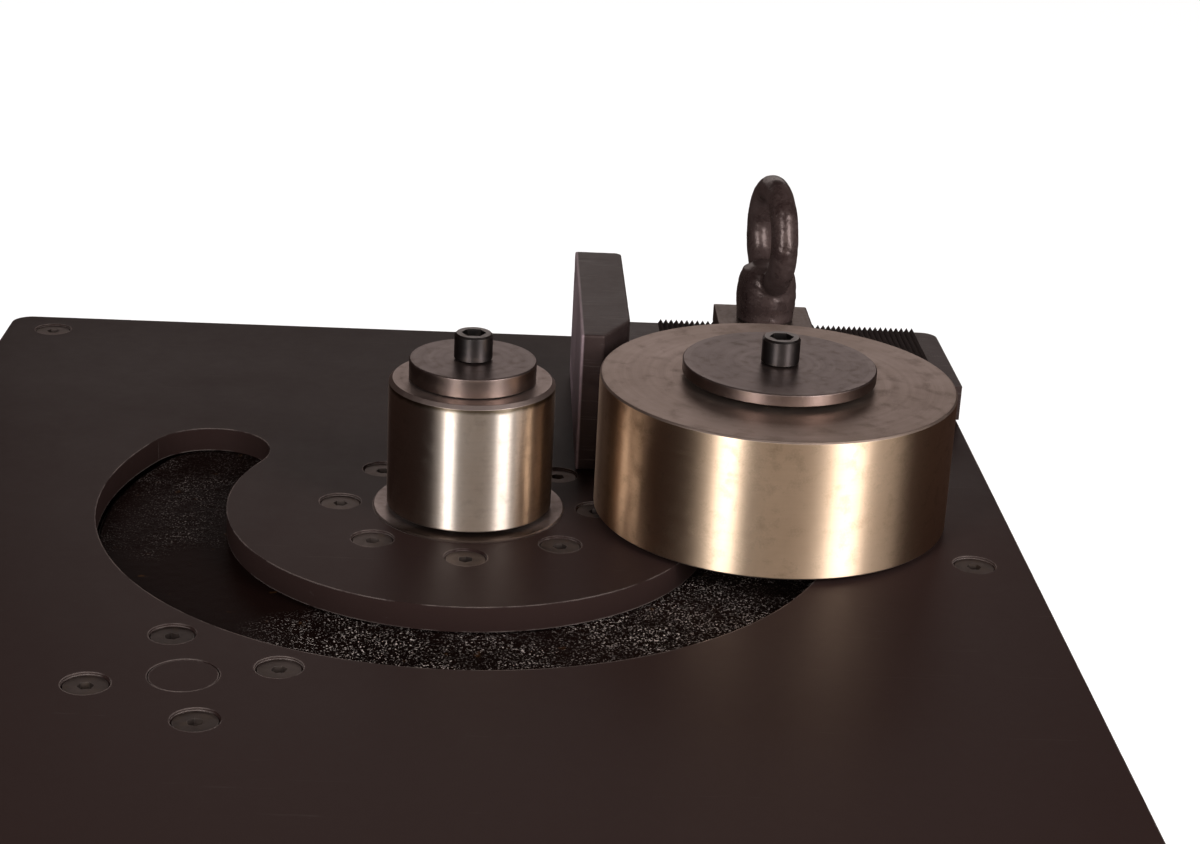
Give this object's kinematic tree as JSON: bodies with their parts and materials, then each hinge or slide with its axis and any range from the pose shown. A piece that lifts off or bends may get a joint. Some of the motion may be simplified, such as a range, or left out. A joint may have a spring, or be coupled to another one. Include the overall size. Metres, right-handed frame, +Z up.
{
  "type": "rebar bender",
  "caption": "Floor-standing table bar bender: a centre roller, a larger bending roller that swings in a curved slot, and a clamped back stop.",
  "frame": {"origin": "on the floor under the middle of the table", "axes": "+Z up, +X to the operator's right, -Y towards the operator"},
  "size_m": [0.8785, 1.04, 1.0695],
  "materials": {
    "black_brown_paint": "satin, worn",
    "ground_steel": "ground, lightly stained",
    "dark_steel": "dark, oiled",
    "black_oxide": "black oxide",
    "bearing_bronze": "turned",
    "grey_paint": "satin",
    "black_plastic": "matt",
    "green_plastic": "gloss",
    "red_plastic": "gloss"
  },
  "bodies": {
    "frame": {"table_plate": "black_brown_paint", "table_screws": "black_oxide", "flange_screws": "black_oxide", "shaft_plug": "black_brown_paint", "centre_ring": "ground_steel", "centre_post": "dark_steel", "post_retainer": "dark_steel", "centre_pin": "ground_steel", "centre_cap": "dark_steel", "centre_cap_screw": "black_oxide", "clamp_stud": "dark_steel", "slide_guides": "black_brown_paint", "guide_screws": "black_oxide", "upper_bearing_housing": "grey_paint", "shaft_bearings": "ground_steel", "lower_bearing_housing": "grey_paint", "gearbox_case": "grey_paint", "motor_body": "grey_paint", "fan_cowl": "black_brown_paint", "terminal_box": "black_plastic", "mount_plate": "grey_paint", "angle_sensor": "black_oxide", "base_frame": "black_brown_paint", "corner_posts": "black_brown_paint", "top_frame": "black_brown_paint", "mid_rails": "black_brown_paint", "side_panels": "black_brown_paint", "front_panel": "black_brown_paint", "back_panel": "black_brown_paint", "door_hinges": "dark_steel", "panel_screws": "black_oxide", "control_panel": "grey_paint", "cable_gland": "black_plastic"},
    "bending_drive": {"bull_gear": "dark_steel", "gear_bush": "bearing_bronze", "slot_cover": "dark_steel", "bending_pin": "ground_steel", "bending_pin_nut": "dark_steel", "bending_cap": "dark_steel", "bending_cap_screw": "black_oxide"},
    "bending_roller": {"bending_roller": "ground_steel", "bending_roller_bush": "bearing_bronze"},
    "centre_roller": {"centre_roller": "ground_steel", "centre_roller_bush": "bearing_bronze"},
    "pinion_shaft": {"pinion_shaft": "ground_steel", "intermediate_gear": "dark_steel"},
    "drive_pinion": {"drive_pinion": "ground_steel"},
    "motor_fan": {"motor_fan": "black_plastic"},
    "back_stop": {"stop_slide": "black_brown_paint", "stop_bar": "black_brown_paint", "stop_bar_screws": "black_oxide"},
    "clamp": {"clamp_block": "dark_steel", "clamp_washer": "dark_steel"},
    "eye_nut": {"eye_nut": "black_brown_paint"},
    "rear_door": {"rear_door": "black_brown_paint"},
    "start_button": {"start_button": "green_plastic"},
    "stop_button": {"stop_button": "black_plastic"},
    "emergency_stop": {"emergency_stop": "red_plastic"},
    "angle_dial": {"angle_dial": "black_plastic"},
    "isolator_switch": {"isolator_switch": "black_plastic"}
  },
  "joints": [
    {"name": "bending_swing", "type": "hinge", "parent": "frame", "child": "bending_drive", "pos_m": [0.006, 0.085, 0.88], "axis": [0, 0, 1], "range_deg": [-200, 0]},
    {"name": "bending_roller_spin", "type": "hinge", "parent": "bending_drive", "child": "bending_roller", "pos_m": [0.24585, 0.09338, 0.88], "axis": [0, 0, 1], "continuous": true},
    {"name": "centre_roller_spin", "type": "hinge", "parent": "frame", "child": "centre_roller", "pos_m": [0.006, 0.085, 0.88], "axis": [0, 0, 1], "continuous": true},
    {"name": "pinion_spin", "type": "hinge", "parent": "frame", "child": "pinion_shaft", "pos_m": [-0.17698, -0.22503, 0.78], "axis": [0, 0, 1], "range_deg": [-10, 1010]},
    {"name": "drive_pinion_spin", "type": "hinge", "parent": "frame", "child": "drive_pinion", "pos_m": [0.00302, -0.22503, 0.71], "axis": [0, 0, 1], "range_deg": [-4010, 10]},
    {"name": "motor_fan_spin", "type": "hinge", "parent": "frame", "child": "motor_fan", "pos_m": [0.00302, -0.22503, 0.22], "axis": [0, 0, 1], "range_deg": [-40100, 100]},
    {"name": "stop_slide_travel", "type": "slide", "parent": "frame", "child": "back_stop", "axis": [1, 0, 0], "range_m": [-0.015, 0.01]},
    {"name": "clamp_lift", "type": "slide", "parent": "frame", "child": "clamp", "axis": [0, 0, 1], "range_m": [0, 0.0106]},
    {"name": "eye_nut_turn", "type": "hinge", "parent": "clamp", "child": "eye_nut", "pos_m": [0.2717, 0.43, 0.935], "axis": [0, 0, 1], "range_deg": [0, 1080]},
    {"name": "door_swing", "type": "hinge", "parent": "frame", "child": "rear_door", "pos_m": [-0.318, 0.489, 0.43], "axis": [0, 0, 1], "range_deg": [0, 110]},
    {"name": "start_press", "type": "slide", "parent": "frame", "child": "start_button", "axis": [0, 1, 0], "range_m": [0, 0.004], "stiffness_N_per_m": 300},
    {"name": "stop_press", "type": "slide", "parent": "frame", "child": "stop_button", "axis": [0, 1, 0], "range_m": [0, 0.004], "stiffness_N_per_m": 300},
    {"name": "emergency_press", "type": "slide", "parent": "frame", "child": "emergency_stop", "axis": [0, 1, 0], "range_m": [0, 0.006]},
    {"name": "dial_turn", "type": "hinge", "parent": "frame", "child": "angle_dial", "pos_m": [0.08, -0.485, 0.7], "axis": [0, -1, 0], "range_deg": [-270, 0]},
    {"name": "isolator_turn", "type": "hinge", "parent": "frame", "child": "isolator_switch", "pos_m": [0.4, -0.33, 0.52], "axis": [1, 0, 0], "range_deg": [0, 90]}
  ],
  "couplings": [
    {"joint": "pinion_spin", "follows": "bending_swing", "ratio": -5},
    {"joint": "drive_pinion_spin", "follows": "bending_swing", "ratio": 20},
    {"joint": "motor_fan_spin", "follows": "bending_swing", "ratio": 200},
    {"joint": "clamp_lift", "follows": "eye_nut_turn", "m_per_rad": 0.00055704}
  ]
}
